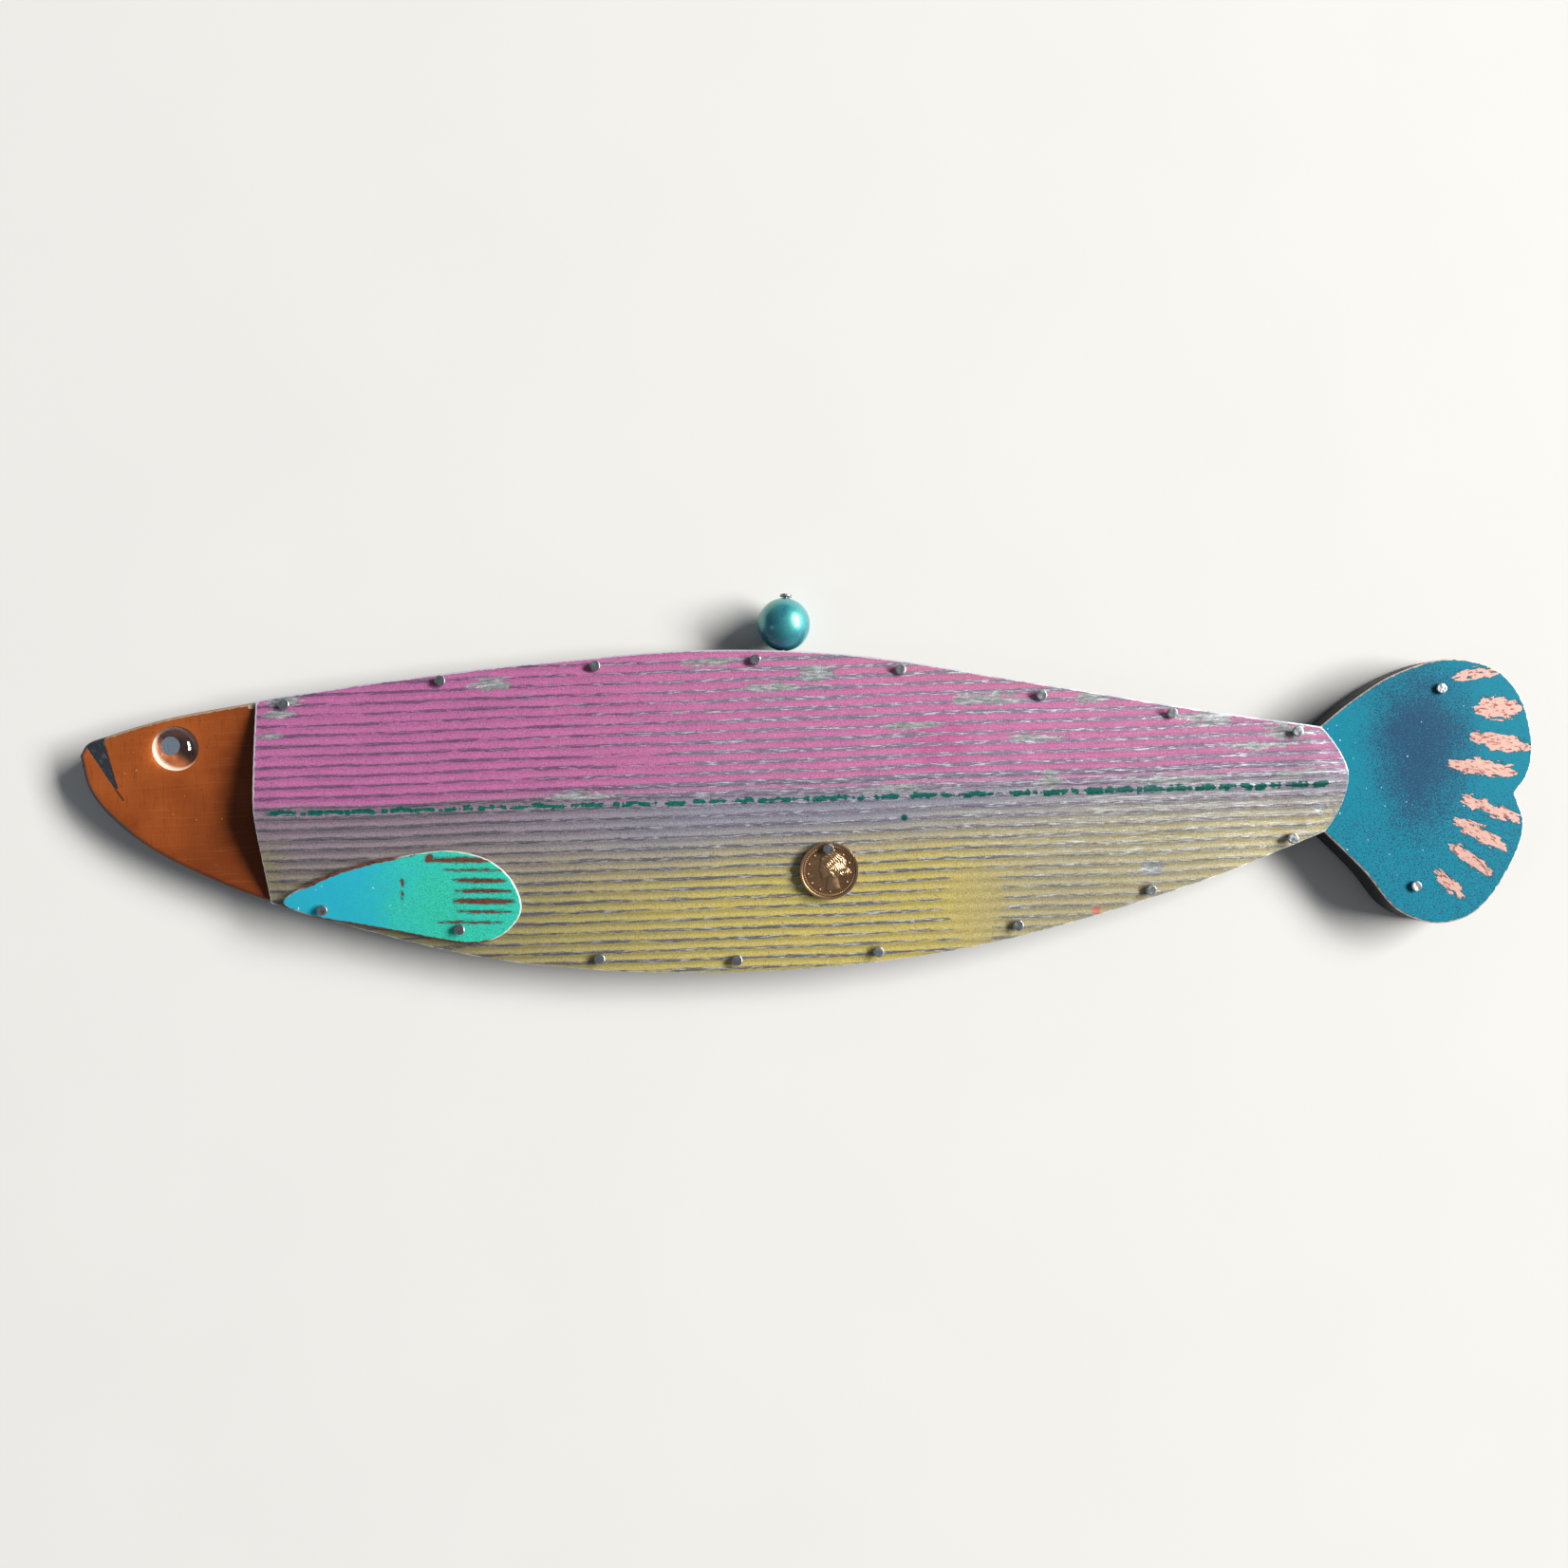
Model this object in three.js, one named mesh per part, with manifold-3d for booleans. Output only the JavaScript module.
// A folk-art fish plaque: a fish-shaped board with a ribbed tin body, metal fin and tail, a glass
// eye, a pearl bead that spins on its nail and a coin charm that swings from another.
//
// Frame, in millimetres: the fish lies on its back face. +Z comes out of its face, +X points to
// the tail and +Y to the back. The origin is on the flat back face, mid-length, under the ridge
// of the tin.
import * as THREE from 'three';
import { mergeVertices } from 'three/addons/utils/BufferGeometryUtils.js';
import Module from 'manifold-3d';

const wasm = await Module();
wasm.setup();

// ---------------------------------------------------------------- driving dimensions

// The fish's outline
const FISH_LENGTH = 383.6;
const BACK_HEIGHT = 37.9;
const BELLY_DEPTH = 47.1;
const TAIL_LENGTH = 55.8;
const TAIL_RISE = 28.8;
const TAIL_DROP = 40.7;

// The board
const BOARD_THICKNESS = 9;
const BOARD_EDGE_ROUND = 1.5;

// The tin over the body
const GILL_FROM_SNOUT = 49;
const GILL_SLANT = 3.6;
const TIN_END_OVERHANG = 4.6;
const TIN_THICKNESS = 0.4;
const TIN_EDGE_GAP = 0.3;
const RIB_PITCH = 2.7;
const RIB_HEIGHT = 0.5;
const ROOF_AT_GILL = 6.5;
const ROOF_AT_MIDDLE = 8;
const ROOF_AT_TAIL = 4.5;
const ROOF_SOFTNESS = 0.15;

// The tail plate and the pectoral fin
const TAIL_PLATE_THICKNESS = 0.6;
const TAIL_TONGUE_LENGTH = 5;
const TAIL_TONGUE_INSET = 1.5;
const TAIL_LIFT_START = 15;
const FIN_THICKNESS = 0.8;
const FIN_LENGTH = 62.5;
const FIN_WIDTH = 24.6;
const FIN_ANGLE = THREE.MathUtils.degToRad(-9.8);
const FIN_NAIL_FROM_GILL = 15.6;
const FIN_NAIL_EDGE_INSET = 2.6;
const FIN_NAIL_FROM_TIP = [10.9, 47.2];

// The nails that hold tin, fin and tail
const NAIL = { headRadius: 1.45, headThickness: 0.8, shankRadius: 0.6, length: 8 };
const FIN_NAIL = { headRadius: 1.45, headThickness: 0.8, shankRadius: 0.6, length: 9 };
const NAIL_HOLE_CLEARANCE = 0.3;
const SEAT_GAP = 0.1;

// The glass eye
const EYE_RADIUS = 6.1;
const EYE_HEIGHT = 5;
const EYE_FROM_SNOUT = 26.2;
const EYE_RISE_SHARE = 0.665;

// The pearl bead and its nail
const BEAD_RADIUS = 7;
const BEAD_AXIS_BELOW_FACE = 1.9;
const BEAD_LEAN = THREE.MathUtils.degToRad(6);
const BEAD_END_GAP = 0.3;
const BEAD_NAIL = { headRadius: 1.65, headThickness: 0.8, shankRadius: 0.7, length: 27 };
const BEAD_BORE_CLEARANCE = 0.3;

// The coin charm and its nail
const COIN_RADIUS = 7.6;
const COIN_THICKNESS = 1;
const COIN_RIM_WIDTH = 0.8;
const COIN_RIM_HEIGHT = 0.2;
const COIN_HOLE_FROM_CENTRE = 6.1;
const COIN_BORE_CLEARANCE = 0.3;
const COIN_GAP = 0.3;
const COIN_DEPTH_SHARE = 0.315;
const COIN_NAIL = { headRadius: 1.4, headThickness: 0.8, shankRadius: 0.6, length: 15 };

// The sawtooth hanger, let into the back
const HANGER_LENGTH = 44;
const HANGER_WIDTH = 9;
const HANGER_THICKNESS = 0.8;
const HANGER_FOOT = 8;
const HANGER_RAISE = 1.6;
const HANGER_TOOTH_COUNT = 8;
const HANGER_TOOTH_DEPTH = 1.5;
const HANGER_POCKET_MARGIN = 2;
const HANGER_POCKET_DEPTH = 3.5;
const HANGER_RISE_SHARE = 0.47;
const HANGER_PIN = { headRadius: 1.5, headThickness: 0.5, shankRadius: 0.5, length: 4.5 };

// Places along the tin, as shares of the way from gill to neck, and how far inside the edge
const BACK_NAILS = [
  { along: 0.025, inset: 2.3 },
  { along: 0.172, inset: 1.9 },
  { along: 0.318, inset: 2.3 },
  { along: 0.469, inset: 2.6 },
  { along: 0.605, inset: 2.4 },
  { along: 0.736, inset: 3.1 },
  { along: 0.858, inset: 2.2 },
  { along: 0.974, inset: 2.3 },
];
const BELLY_NAILS = [
  { along: 0.313, inset: 3.1 },
  { along: 0.442, inset: 3.3 },
  { along: 0.575, inset: 2.8 },
  { along: 0.707, inset: 3.0 },
  { along: 0.833, inset: 2.2 },
  { along: 0.967, inset: 1.9 },
];
const BEAD_ALONG = 0.494;
const COIN_ALONG = 0.5305;
const HANGER_ALONG = 0.5215;

// Fineness of the meshes
const SIDE_STEPS = 26;
const LOBE_STEPS = 15;
const FIN_STEPS = 30;
const ROUND_SEGMENTS = 10;
const EYE_SEGMENTS = 24;
const BEAD_SEGMENTS = 20;
const COIN_SEGMENTS = 32;
const TIN_STATIONS = 8;

const SNOUT_X = -FISH_LENGTH / 2;
const NECK_X = FISH_LENGTH / 2 - TAIL_LENGTH;
const GILL_X = SNOUT_X + GILL_FROM_SNOUT;
const TIN_END_X = NECK_X + TIN_END_OVERHANG;
const LIFT_START_X = NECK_X - TAIL_LIFT_START;
const LIFT_END_X = NECK_X - TAIL_TONGUE_LENGTH;
const FAR = FISH_LENGTH;
const alongTin = (share) => THREE.MathUtils.lerp(GILL_X, NECK_X, share);

// ---------------------------------------------------------------- outline

// A smooth curve through a few points, as a list of Vector2 at even spacing.
function smoothLine(points, steps) {
  const corners = points.map(([x, y]) => new THREE.Vector3(x, y, 0));
  const curve = new THREE.CatmullRomCurve3(corners, false, 'centripetal');
  return curve.getSpacedPoints(steps).map((p) => new THREE.Vector2(p.x, p.y));
}

// Points given as a share of the way from snout to neck and a share of a height.
function bodyPoints(height, shares) {
  return shares.map(([along, up]) => [SNOUT_X + along * (NECK_X - SNOUT_X), up * height]);
}

// Points given as a share of the way from neck to tail end and a share of a height.
function tailPoints(height, shares) {
  return shares.map(([along, up]) => [NECK_X + along * TAIL_LENGTH, up * height]);
}

const backCorners = bodyPoints(BACK_HEIGHT, [
  [0, 0.42], [0.006, 0.5], [0.022, 0.55], [0.068, 0.654], [0.138, 0.747], [0.261, 0.871],
  [0.399, 0.965], [0.509, 1], [0.628, 0.929], [0.764, 0.707], [0.901, 0.472], [1, 0.32],
]);
const bellyCorners = bodyPoints(-BELLY_DEPTH, [
  [0, -0.338], [0.008, -0.125], [0.042, 0.134], [0.11, 0.406], [0.208, 0.65],
  [0.345, 0.898], [0.527, 1], [0.711, 0.907], [0.896, 0.59], [1, 0.327],
]);
const notch = [NECK_X + 0.909 * TAIL_LENGTH, -0.172 * TAIL_DROP];
const upperLobeCorners = [
  notch,
  ...tailPoints(TAIL_RISE, [
    [0.973, -0.076], [1, 0.174], [0.95, 0.646], [0.833, 0.899], [0.609, 1], [0.353, 0.872],
    [0.143, 0.632],
  ]),
  backCorners.at(-1),
];
const lowerLobeCorners = [
  bellyCorners.at(-1),
  ...tailPoints(-TAIL_DROP, [
    [0.188, 0.651], [0.339, 0.907], [0.52, 1], [0.699, 0.939], [0.873, 0.651], [0.946, 0.381],
  ]),
  notch,
];

const backLine = smoothLine(backCorners, SIDE_STEPS);
const bellyLine = smoothLine(bellyCorners, SIDE_STEPS);

// The whole fish, counter-clockwise from the snout along the belly. Each stretch leaves out its
// last point, which the next one starts with; the back runs from neck to snout.
function fishOutline() {
  const stretches = [
    bellyLine.slice(1),
    smoothLine(lowerLobeCorners, LOBE_STEPS).slice(1),
    smoothLine(upperLobeCorners, LOBE_STEPS).slice(1),
    [...backLine].reverse().slice(1),
  ];
  return new THREE.Shape(stretches.flat());
}

// Height of an edge line above the ridge line at a place along the fish.
function edgeAt(line, x) {
  const next = line.findIndex((p) => p.x >= x);
  if (next <= 0) {
    return next === 0 ? line[0].y : line.at(-1).y;
  }
  const [a, b] = [line[next - 1], line[next]];
  return THREE.MathUtils.lerp(a.y, b.y, (x - a.x) / (b.x - a.x));
}

// A point inside an edge line by a distance square to the edge.
function insideEdge(line, x, inset) {
  const step = 1;
  const slope = (edgeAt(line, x + step) - edgeAt(line, x - step)) / (2 * step);
  const inward = line === backLine ? -1 : 1;
  return new THREE.Vector2(x, edgeAt(line, x) + inward * inset * Math.hypot(1, slope));
}

// ---------------------------------------------------------------- heights over the board

// Height of the tin's ridge over its edges: one parabola through gill, middle and tail.
function roofHeight(x) {
  const s = THREE.MathUtils.clamp((x - GILL_X) / (TIN_END_X - GILL_X), 0, 1);
  const gill = ROOF_AT_GILL * (1 - s) * (1 - 2 * s);
  const middle = ROOF_AT_MIDDLE * 4 * s * (1 - s);
  const tail = ROOF_AT_TAIL * s * (2 * s - 1);
  return gill + middle + tail;
}

// Fall from the ridge (across = 0) to an edge (across = 1), soft at the ridge.
function roofShare(across) {
  const bend = (v) => Math.hypot(v, ROOF_SOFTNESS) - ROOF_SOFTNESS;
  return 1 - bend(across) / bend(1);
}

// The tin's end rests on the tail plate, so its edges climb on to the plate there.
function plateLift(x) {
  const climb = (x - LIFT_START_X) / (LIFT_END_X - LIFT_START_X);
  return TAIL_PLATE_THICKNESS * THREE.MathUtils.clamp(climb, 0, 1);
}

// Underside of the tin without its ribs.
function tinUnder(x, y) {
  const edge = y > 0 ? edgeAt(backLine, x) : edgeAt(bellyLine, x);
  const roof = roofHeight(x) * roofShare(y / edge);
  return BOARD_THICKNESS + TIN_EDGE_GAP + plateLift(x) + roof;
}

// Top of the tin over its rib crests.
const tinCrest = (x, y) => tinUnder(x, y) + RIB_HEIGHT + TIN_THICKNESS;
const finUnder = (x, y) => tinCrest(x, y) + TIN_EDGE_GAP;
const finTop = (x, y) => finUnder(x, y) + FIN_THICKNESS;

// The highest that a surface reaches under a round head.
function highestUnder(surface, x, y, radius) {
  const around = [0, 1, 2, 3, 4, 5, 6, 7].map((k) => (k * Math.PI) / 4);
  const rim = around.map((a) => surface(x + radius * Math.cos(a), y + radius * Math.sin(a)));
  return Math.max(surface(x, y), ...rim);
}

// ---------------------------------------------------------------- solids

// A closed three.js geometry as a solid that can be cut.
function toSolid(geometry, matrix = new THREE.Matrix4()) {
  const bare = geometry.clone().applyMatrix4(matrix);
  bare.deleteAttribute('normal');
  bare.deleteAttribute('uv');
  const merged = mergeVertices(bare, 1e-4);
  const triangles = [];
  for (let i = 0; i < merged.index.count; i += 3) {
    const [a, b, c] = [0, 1, 2].map((k) => merged.index.getX(i + k));
    if (a !== b && b !== c && c !== a) {
      triangles.push(a, b, c);
    }
  }
  return new wasm.Manifold(new wasm.Mesh({
    numProp: 3,
    vertProperties: new Float32Array(merged.attributes.position.array),
    triVerts: new Uint32Array(triangles),
  }));
}

// A solid back as a three.js geometry.
function toGeometry(solid) {
  const mesh = solid.getMesh();
  const geometry = new THREE.BufferGeometry();
  geometry.setAttribute('position', new THREE.BufferAttribute(mesh.vertProperties, 3));
  geometry.setIndex(new THREE.BufferAttribute(mesh.triVerts, 1));
  geometry.computeVertexNormals();
  return geometry;
}

// A flat outline made into a plate between two heights.
function plate(shape, low, high) {
  const geometry = new THREE.ExtrudeGeometry(shape, { depth: high - low, bevelEnabled: false });
  return geometry.translate(0, 0, low);
}

// A sheet of one thickness over a grid of places, closed round its edges.
function sheet(xs, ys, under, thickness) {
  const corners = [];
  for (const top of [0, thickness]) {
    for (const x of xs) {
      ys.forEach((y) => corners.push(x, y, under(x, y) + top));
    }
  }
  const at = (i, j, top) => top * xs.length * ys.length + i * ys.length + j;
  const triangles = [];
  const quad = (a, b, c, d) => triangles.push(a, b, c, a, c, d);
  const [lastX, lastY] = [xs.length - 1, ys.length - 1];
  for (let i = 0; i < lastX; i += 1) {
    for (let j = 0; j < lastY; j += 1) {
      quad(at(i, j, 1), at(i + 1, j, 1), at(i + 1, j + 1, 1), at(i, j + 1, 1));
      quad(at(i, j, 0), at(i, j + 1, 0), at(i + 1, j + 1, 0), at(i + 1, j, 0));
    }
    quad(at(i, 0, 0), at(i + 1, 0, 0), at(i + 1, 0, 1), at(i, 0, 1));
    quad(at(i, lastY, 0), at(i, lastY, 1), at(i + 1, lastY, 1), at(i + 1, lastY, 0));
  }
  for (let j = 0; j < lastY; j += 1) {
    quad(at(0, j, 0), at(0, j, 1), at(0, j + 1, 1), at(0, j + 1, 0));
    quad(at(lastX, j, 0), at(lastX, j + 1, 0), at(lastX, j + 1, 1), at(lastX, j, 1));
  }
  const geometry = new THREE.BufferGeometry();
  geometry.setAttribute('position', new THREE.Float32BufferAttribute(corners, 3));
  geometry.setIndex(triangles);
  return geometry;
}

// Evenly spaced numbers from low to high.
function spread(low, high, count) {
  return Array.from({ length: count }, (_, k) => THREE.MathUtils.lerp(low, high, k / (count - 1)));
}

// A profile of [radius, height] turned round the Z axis.
function turned(profile, segments) {
  const points = profile.map(([r, z]) => new THREE.Vector2(r, z));
  return new THREE.LatheGeometry(points, segments).rotateX(Math.PI / 2);
}

function mesh(name, geometry, color, roughness, metalness) {
  const material = new THREE.MeshStandardMaterial({ color, roughness, metalness });
  const made = new THREE.Mesh(geometry, material);
  made.name = name;
  return made;
}

// ---------------------------------------------------------------- nails

// A nail points down: its head's underside is at z = 0 and its shank ends in a point.
function nailGeometry({ headRadius, headThickness, shankRadius, length }) {
  const point = 2 * shankRadius;
  const shoulder = 0.6 * headThickness;
  return turned([
    [0, -length],
    [shankRadius, -length + point],
    [shankRadius, 0],
    [headRadius, 0],
    [headRadius, shoulder],
    [0.7 * headRadius, headThickness],
    [0, headThickness],
  ], ROUND_SEGMENTS);
}

// The hole that a nail needs, from its head down to just past its point.
function nailHole(nail, clearance) {
  const { headThickness, shankRadius, length } = nail.userData.size;
  const radius = (shankRadius + clearance) / Math.cos(Math.PI / ROUND_SEGMENTS);
  const reach = length + clearance + headThickness;
  const hole = new THREE.CylinderGeometry(radius, radius, reach, ROUND_SEGMENTS);
  hole.rotateX(Math.PI / 2).translate(0, 0, headThickness - reach / 2);
  nail.updateWorldMatrix(true, false);
  return toSolid(hole, nail.matrixWorld);
}

function drilled(solid, nails, clearance = NAIL_HOLE_CLEARANCE) {
  return nails.reduce((left, nail) => left.subtract(nailHole(nail, clearance)), solid);
}

function makeNail(name, size, x, y, z) {
  const nail = mesh(name, nailGeometry(size), 0x8d8a86, 0.35, 1);
  nail.userData.size = size;
  nail.position.set(x, y, z);
  return nail;
}

// A nail standing straight on a surface, its head just clear of it.
function nailOn(name, size, x, y, surface) {
  const z = highestUnder(surface, x, y, size.headRadius) + SEAT_GAP;
  return makeNail(name, size, x, y, z);
}

function edgeNails(prefix, line, places) {
  return places.map(({ along, inset }, k) => {
    const spot = insideEdge(line, alongTin(along), inset);
    return nailOn(`${prefix}_${k + 1}`, NAIL, spot.x, spot.y, tinCrest);
  });
}

// ---------------------------------------------------------------- sheet pieces

// The part of the fish that the tin covers: a slanted front edge at the gill, and a rear end
// that bows out over the tail plate.
function tinWindow() {
  const backNeck = edgeAt(backLine, NECK_X);
  const bellyNeck = edgeAt(bellyLine, NECK_X);
  const slant = GILL_SLANT / (BACK_HEIGHT + BELLY_DEPTH);
  const bow = new THREE.QuadraticBezierCurve(
    new THREE.Vector2(NECK_X, bellyNeck),
    new THREE.Vector2(NECK_X + 2 * TIN_END_OVERHANG, (bellyNeck + backNeck) / 2),
    new THREE.Vector2(NECK_X, backNeck));
  return new THREE.Shape([
    new THREE.Vector2(GILL_X - slant * FAR, FAR),
    new THREE.Vector2(GILL_X + slant * FAR, -FAR),
    new THREE.Vector2(NECK_X, -FAR),
    ...bow.getPoints(8),
    new THREE.Vector2(NECK_X, FAR),
  ]);
}

function bodyTin(nails) {
  const top = 2 * BOARD_THICKNESS + 2 * ROOF_AT_MIDDLE;
  const halfPitch = RIB_PITCH / 2;
  const firstLine = -Math.ceil((BELLY_DEPTH + halfPitch) / halfPitch);
  const lastLine = Math.ceil((BACK_HEIGHT + halfPitch) / halfPitch);
  const lines = Array.from({ length: lastLine - firstLine + 1 }, (_, k) => firstLine + k);
  const ys = lines.map((k) => k * halfPitch);
  const ribRise = (y) => (Math.round(y / halfPitch) % 2 === 0 ? RIB_HEIGHT : 0);
  const xs = [
    ...spread(GILL_X - GILL_SLANT, LIFT_START_X, TIN_STATIONS),
    LIFT_END_X,
    TIN_END_X + GILL_SLANT,
  ];
  const blank = sheet(xs, ys, (x, y) => tinUnder(x, y) + ribRise(y), TIN_THICKNESS);
  const cut = toSolid(blank)
    .intersect(toSolid(plate(fishOutline(), 0, top)))
    .intersect(toSolid(plate(tinWindow(), 0, top)));
  return mesh('body_tin', toGeometry(drilled(cut, nails)), 0xc06a92, 0.45, 0.6);
}

// The tail plate has the board's own outline, and a narrower tongue that runs under the tin.
function tailPlate(nails) {
  const tongue = LIFT_END_X;
  const upper = edgeAt(backLine, NECK_X) - TAIL_TONGUE_INSET;
  const lower = edgeAt(bellyLine, NECK_X) + TAIL_TONGUE_INSET;
  const window = new THREE.Shape([
    new THREE.Vector2(tongue, lower),
    new THREE.Vector2(NECK_X, lower),
    new THREE.Vector2(NECK_X, -FAR),
    new THREE.Vector2(FAR, -FAR),
    new THREE.Vector2(FAR, FAR),
    new THREE.Vector2(NECK_X, FAR),
    new THREE.Vector2(NECK_X, upper),
    new THREE.Vector2(tongue, upper),
  ]);
  const top = BOARD_THICKNESS + TAIL_PLATE_THICKNESS;
  const cut = toSolid(plate(fishOutline(), BOARD_THICKNESS, top))
    .intersect(toSolid(plate(window, 0, top + BOARD_THICKNESS)));
  return mesh('tail_plate', toGeometry(drilled(cut, nails)), 0x1c8f85, 0.45, 0.3);
}

// The fin's front tip, and the way from it to the fin's round rear end.
function finFrame() {
  const nail = insideEdge(bellyLine, GILL_X + FIN_NAIL_FROM_GILL, FIN_NAIL_EDGE_INSET);
  const along = new THREE.Vector2(Math.cos(FIN_ANGLE), Math.sin(FIN_ANGLE));
  return { tip: nail.addScaledVector(along, -FIN_NAIL_FROM_TIP[0]), along };
}

// A place on the fin, by its distance from the tip and its distance above the fin's own line.
function onFin(distance, above) {
  const { tip, along } = finFrame();
  return new THREE.Vector2(
    tip.x + distance * along.x - above * along.y,
    tip.y + distance * along.y + above * along.x);
}

// A teardrop, as shares of the fin's length from the tip and of its width from the nail line.
function finOutline() {
  const corners = [
    [0, 0.02], [0.13, -0.09], [0.32, -0.11], [0.52, -0.13], [0.7, -0.15], [0.83, -0.13],
    [0.94, 0.02], [1, 0.29], [0.96, 0.57], [0.86, 0.77], [0.7, 0.83], [0.5, 0.71], [0.3, 0.53],
    [0.13, 0.3],
  ];
  const points = corners.map(([a, b]) => onFin(a * FIN_LENGTH, b * FIN_WIDTH));
  const loop = points.map((p) => new THREE.Vector3(p.x, p.y, 0));
  const curve = new THREE.CatmullRomCurve3(loop, true, 'centripetal');
  const even = curve.getSpacedPoints(FIN_STEPS).slice(0, -1);
  return new THREE.Shape(even.map((p) => new THREE.Vector2(p.x, p.y)));
}

function pectoralFin(nails) {
  const { tip } = finFrame();
  const reach = FIN_LENGTH + FIN_WIDTH;
  const xs = spread(tip.x - FIN_WIDTH, tip.x + reach, 12);
  const ys = spread(tip.y - FIN_WIDTH, tip.y + FIN_WIDTH, 10);
  const top = 2 * BOARD_THICKNESS + 2 * ROOF_AT_MIDDLE;
  const cut = toSolid(sheet(xs, ys, finUnder, FIN_THICKNESS))
    .intersect(toSolid(plate(finOutline(), 0, top)));
  return mesh('pectoral_fin', toGeometry(drilled(cut, nails)), 0x35b5ae, 0.4, 0.3);
}

// ---------------------------------------------------------------- board and hanger

function hangerPlace() {
  const x = alongTin(HANGER_ALONG);
  return new THREE.Vector2(x, HANGER_RISE_SHARE * edgeAt(backLine, x));
}

function hangerPocket() {
  const { x, y } = hangerPlace();
  const pocket = new THREE.BoxGeometry(
    HANGER_LENGTH + 2 * HANGER_POCKET_MARGIN,
    HANGER_WIDTH + 2 * HANGER_POCKET_MARGIN,
    2 * HANGER_POCKET_DEPTH);
  return pocket.translate(x, y, 0);
}

// A strip bent outwards in the middle, with teeth along its lower edge there.
function hangerStrip(pins) {
  const { x, y } = hangerPlace();
  const half = HANGER_LENGTH / 2;
  const foot = HANGER_POCKET_DEPTH - SEAT_GAP;
  const raised = foot - HANGER_RAISE;
  const bend = half - HANGER_FOOT;
  const flat = bend - HANGER_RAISE;
  const upper = [[-half, foot], [-bend, foot], [-flat, raised], [flat, raised], [bend, foot],
    [half, foot]];
  const lower = upper.map(([a, b]) => [a, b - HANGER_THICKNESS]).reverse();
  const side = new THREE.Shape([...upper, ...lower].map(([a, b]) => new THREE.Vector2(a, b)));
  const bar = new THREE.ExtrudeGeometry(side, { depth: HANGER_WIDTH, bevelEnabled: false });
  bar.rotateX(Math.PI / 2).translate(0, HANGER_WIDTH / 2, 0);
  const pitch = (2 * flat) / HANGER_TOOTH_COUNT;
  const lowEdge = -HANGER_WIDTH / 2;
  const teeth = [new THREE.Vector2(-flat, lowEdge - 1)];
  for (let k = 0; k < HANGER_TOOTH_COUNT; k += 1) {
    teeth.push(new THREE.Vector2(-flat + (k + 0.5) * pitch, lowEdge + HANGER_TOOTH_DEPTH));
    teeth.push(new THREE.Vector2(-flat + (k + 1) * pitch, lowEdge));
  }
  teeth.push(new THREE.Vector2(flat, lowEdge - 1));
  const gaps = toSolid(plate(new THREE.Shape(teeth), 0, HANGER_POCKET_DEPTH));
  const strip = toSolid(bar).subtract(gaps).translate([x, y, 0]);
  return mesh('hanger_strip', toGeometry(drilled(strip, pins)), 0xb08d4a, 0.35, 1);
}

function hangerPins() {
  const { x, y } = hangerPlace();
  const reach = (HANGER_LENGTH - HANGER_FOOT) / 2;
  const seat = HANGER_POCKET_DEPTH - HANGER_THICKNESS - 2 * SEAT_GAP;
  return [-1, 1].map((side, k) => {
    const pin = makeNail(`hanger_pin_${k + 1}`, HANGER_PIN, x + side * reach, y, seat);
    pin.rotation.x = Math.PI;
    return pin;
  });
}

function board(nails) {
  const depth = BOARD_THICKNESS - 2 * BOARD_EDGE_ROUND;
  const blank = new THREE.ExtrudeGeometry(fishOutline(), {
    depth,
    bevelThickness: BOARD_EDGE_ROUND,
    bevelSize: BOARD_EDGE_ROUND,
    bevelOffset: -BOARD_EDGE_ROUND,
    bevelSegments: 2,
  });
  blank.translate(0, 0, BOARD_EDGE_ROUND);
  const cut = toSolid(blank).subtract(toSolid(hangerPocket()));
  return mesh('board', toGeometry(drilled(cut, nails)), 0xb5672a, 0.6, 0);
}

// ---------------------------------------------------------------- eye, bead and coin

// A glass dome: a quarter of an ellipse turned round, on a short straight wall.
function eyeGlass() {
  const wall = 0.6;
  const arc = [];
  for (let k = 0; k <= 7; k += 1) {
    const a = (k / 7) * (Math.PI / 2);
    arc.push([EYE_RADIUS * Math.cos(a), wall + (EYE_HEIGHT - wall) * Math.sin(a)]);
  }
  arc.at(-1)[0] = 0;
  const eye = mesh('eye_glass', turned([[0, 0], [EYE_RADIUS, 0], ...arc], EYE_SEGMENTS),
    0xdfe9ee, 0.03, 0);
  const x = SNOUT_X + EYE_FROM_SNOUT;
  eye.position.set(x, EYE_RISE_SHARE * edgeAt(backLine, x), BOARD_THICKNESS);
  return eye;
}

// The bead and its nail stand in a group on the board's back edge; its +Y runs out of the edge.
function beadGroup() {
  const x = alongTin(BEAD_ALONG);
  const group = new THREE.Group();
  group.position.set(x, edgeAt(backLine, x), BOARD_THICKNESS - BEAD_AXIS_BELOW_FACE);
  group.rotation.z = -BEAD_LEAN;
  const headSeat = 2 * BEAD_RADIUS + 2 * BEAD_END_GAP;
  const nail = makeNail('bead_nail', BEAD_NAIL, 0, headSeat, 0);
  nail.rotation.x = -Math.PI / 2;
  const radius = BEAD_NAIL.shankRadius + BEAD_BORE_CLEARANCE;
  const bore = new THREE.CylinderGeometry(radius, radius, 3 * BEAD_RADIUS, ROUND_SEGMENTS);
  const ball = new THREE.SphereGeometry(BEAD_RADIUS, BEAD_SEGMENTS, 12);
  const pierced = toGeometry(toSolid(ball).subtract(toSolid(bore)));
  const bead = mesh('pearl_bead', pierced, 0x2f8fa0, 0.2, 0.3);
  bead.position.y = BEAD_RADIUS + BEAD_END_GAP;
  group.add(nail, bead);
  return { group, nail };
}

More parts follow.
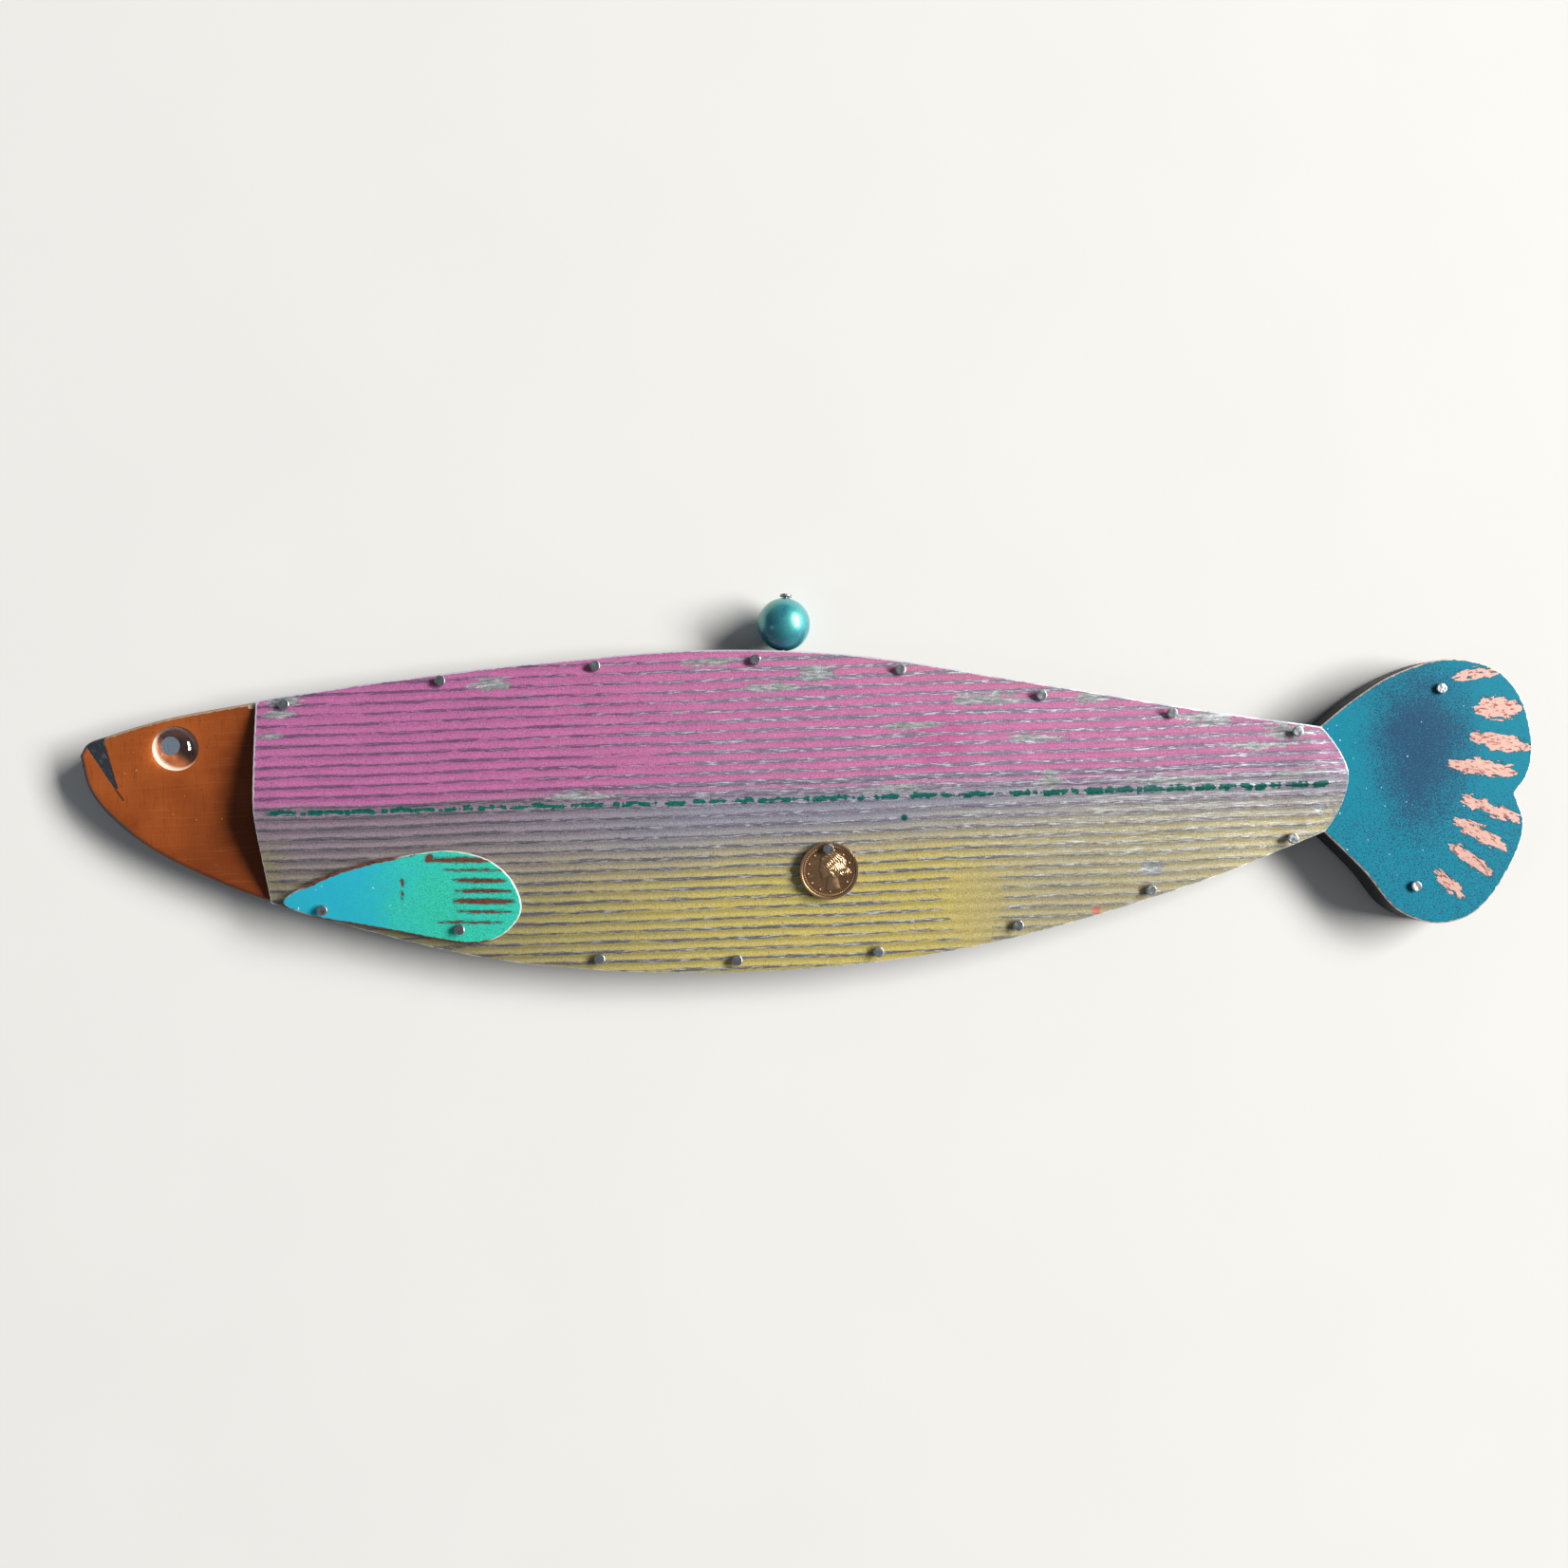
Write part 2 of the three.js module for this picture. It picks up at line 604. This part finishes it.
function coinGeometry() {
  const face = COIN_THICKNESS - COIN_RIM_HEIGHT;
  const inner = COIN_RADIUS - COIN_RIM_WIDTH;
  const disc = turned([
    [0, 0], [COIN_RADIUS, 0], [COIN_RADIUS, COIN_THICKNESS], [inner, COIN_THICKNESS],
    [inner, face], [0, face],
  ], COIN_SEGMENTS);
  const radius = COIN_NAIL.shankRadius + COIN_BORE_CLEARANCE;
  const hole = new THREE.CylinderGeometry(radius, radius, 4 * COIN_THICKNESS, ROUND_SEGMENTS);
  hole.rotateX(Math.PI / 2).translate(0, COIN_HOLE_FROM_CENTRE, 0);
  return toGeometry(toSolid(disc).subtract(toSolid(hole)));
}

// The coin and its nail stand in a group square to the tin's flank, with the nail on its Z axis.
function coinGroup() {
  const x = alongTin(COIN_ALONG);
  const y = COIN_DEPTH_SHARE * edgeAt(bellyLine, x);
  const step = 1;
  const slopeX = (tinCrest(x + step, y) - tinCrest(x - step, y)) / (2 * step);
  const slopeY = (tinCrest(x, y + step) - tinCrest(x, y - step)) / (2 * step);
  const normal = new THREE.Vector3(-slopeX, -slopeY, 1).normalize();
  const group = new THREE.Group();
  group.position.set(x, y, tinCrest(x, y));
  group.quaternion.setFromUnitVectors(new THREE.Vector3(0, 0, 1), normal);
  const coin = mesh('coin_charm', coinGeometry(), 0xc29a4b, 0.3, 1);
  coin.position.set(0, -COIN_HOLE_FROM_CENTRE, COIN_GAP);
  const nail = makeNail('coin_nail', COIN_NAIL, 0, 0, COIN_THICKNESS + 2 * COIN_GAP);
  group.add(nail, coin);
  return { group, nail };
}

// ---------------------------------------------------------------- the fish

const backNails = edgeNails('back_nail', backLine, BACK_NAILS);
const bellyNails = edgeNails('belly_nail', bellyLine, BELLY_NAILS);
const finNails = FIN_NAIL_FROM_TIP.map((distance, k) => {
  const spot = onFin(distance, 0);
  return nailOn(`fin_nail_${k + 1}`, FIN_NAIL, spot.x, spot.y, finTop);
});
const tailNailPlaces = [
  ...tailPoints(TAIL_RISE, [[0.575, 0.733]]),
  ...tailPoints(-TAIL_DROP, [[0.423, 0.754]]),
];
const tailNails = tailNailPlaces.map(([x, y], k) => {
  const plateTop = () => BOARD_THICKNESS + TAIL_PLATE_THICKNESS;
  return nailOn(`tail_nail_${k + 1}`, NAIL, x, y, plateTop);
});
const bead = beadGroup();
const coin = coinGroup();
const pins = hangerPins();
const tinNails = [...backNails, ...bellyNails, ...finNails, coin.nail];
const boardNails = [...tinNails, ...tailNails, ...pins, bead.nail];

const fish = new THREE.Group();
fish.add(board(boardNails));
fish.add(bodyTin(tinNails));
fish.add(tailPlate([...tailNails, backNails.at(-1), bellyNails.at(-1)]));
fish.add(pectoralFin(finNails));
fish.add(eyeGlass());
fish.add(bead.group);
fish.add(coin.group);
fish.add(hangerStrip(pins));
fish.add(...backNails, ...bellyNails, ...finNails, ...tailNails, ...pins);

export default fish;
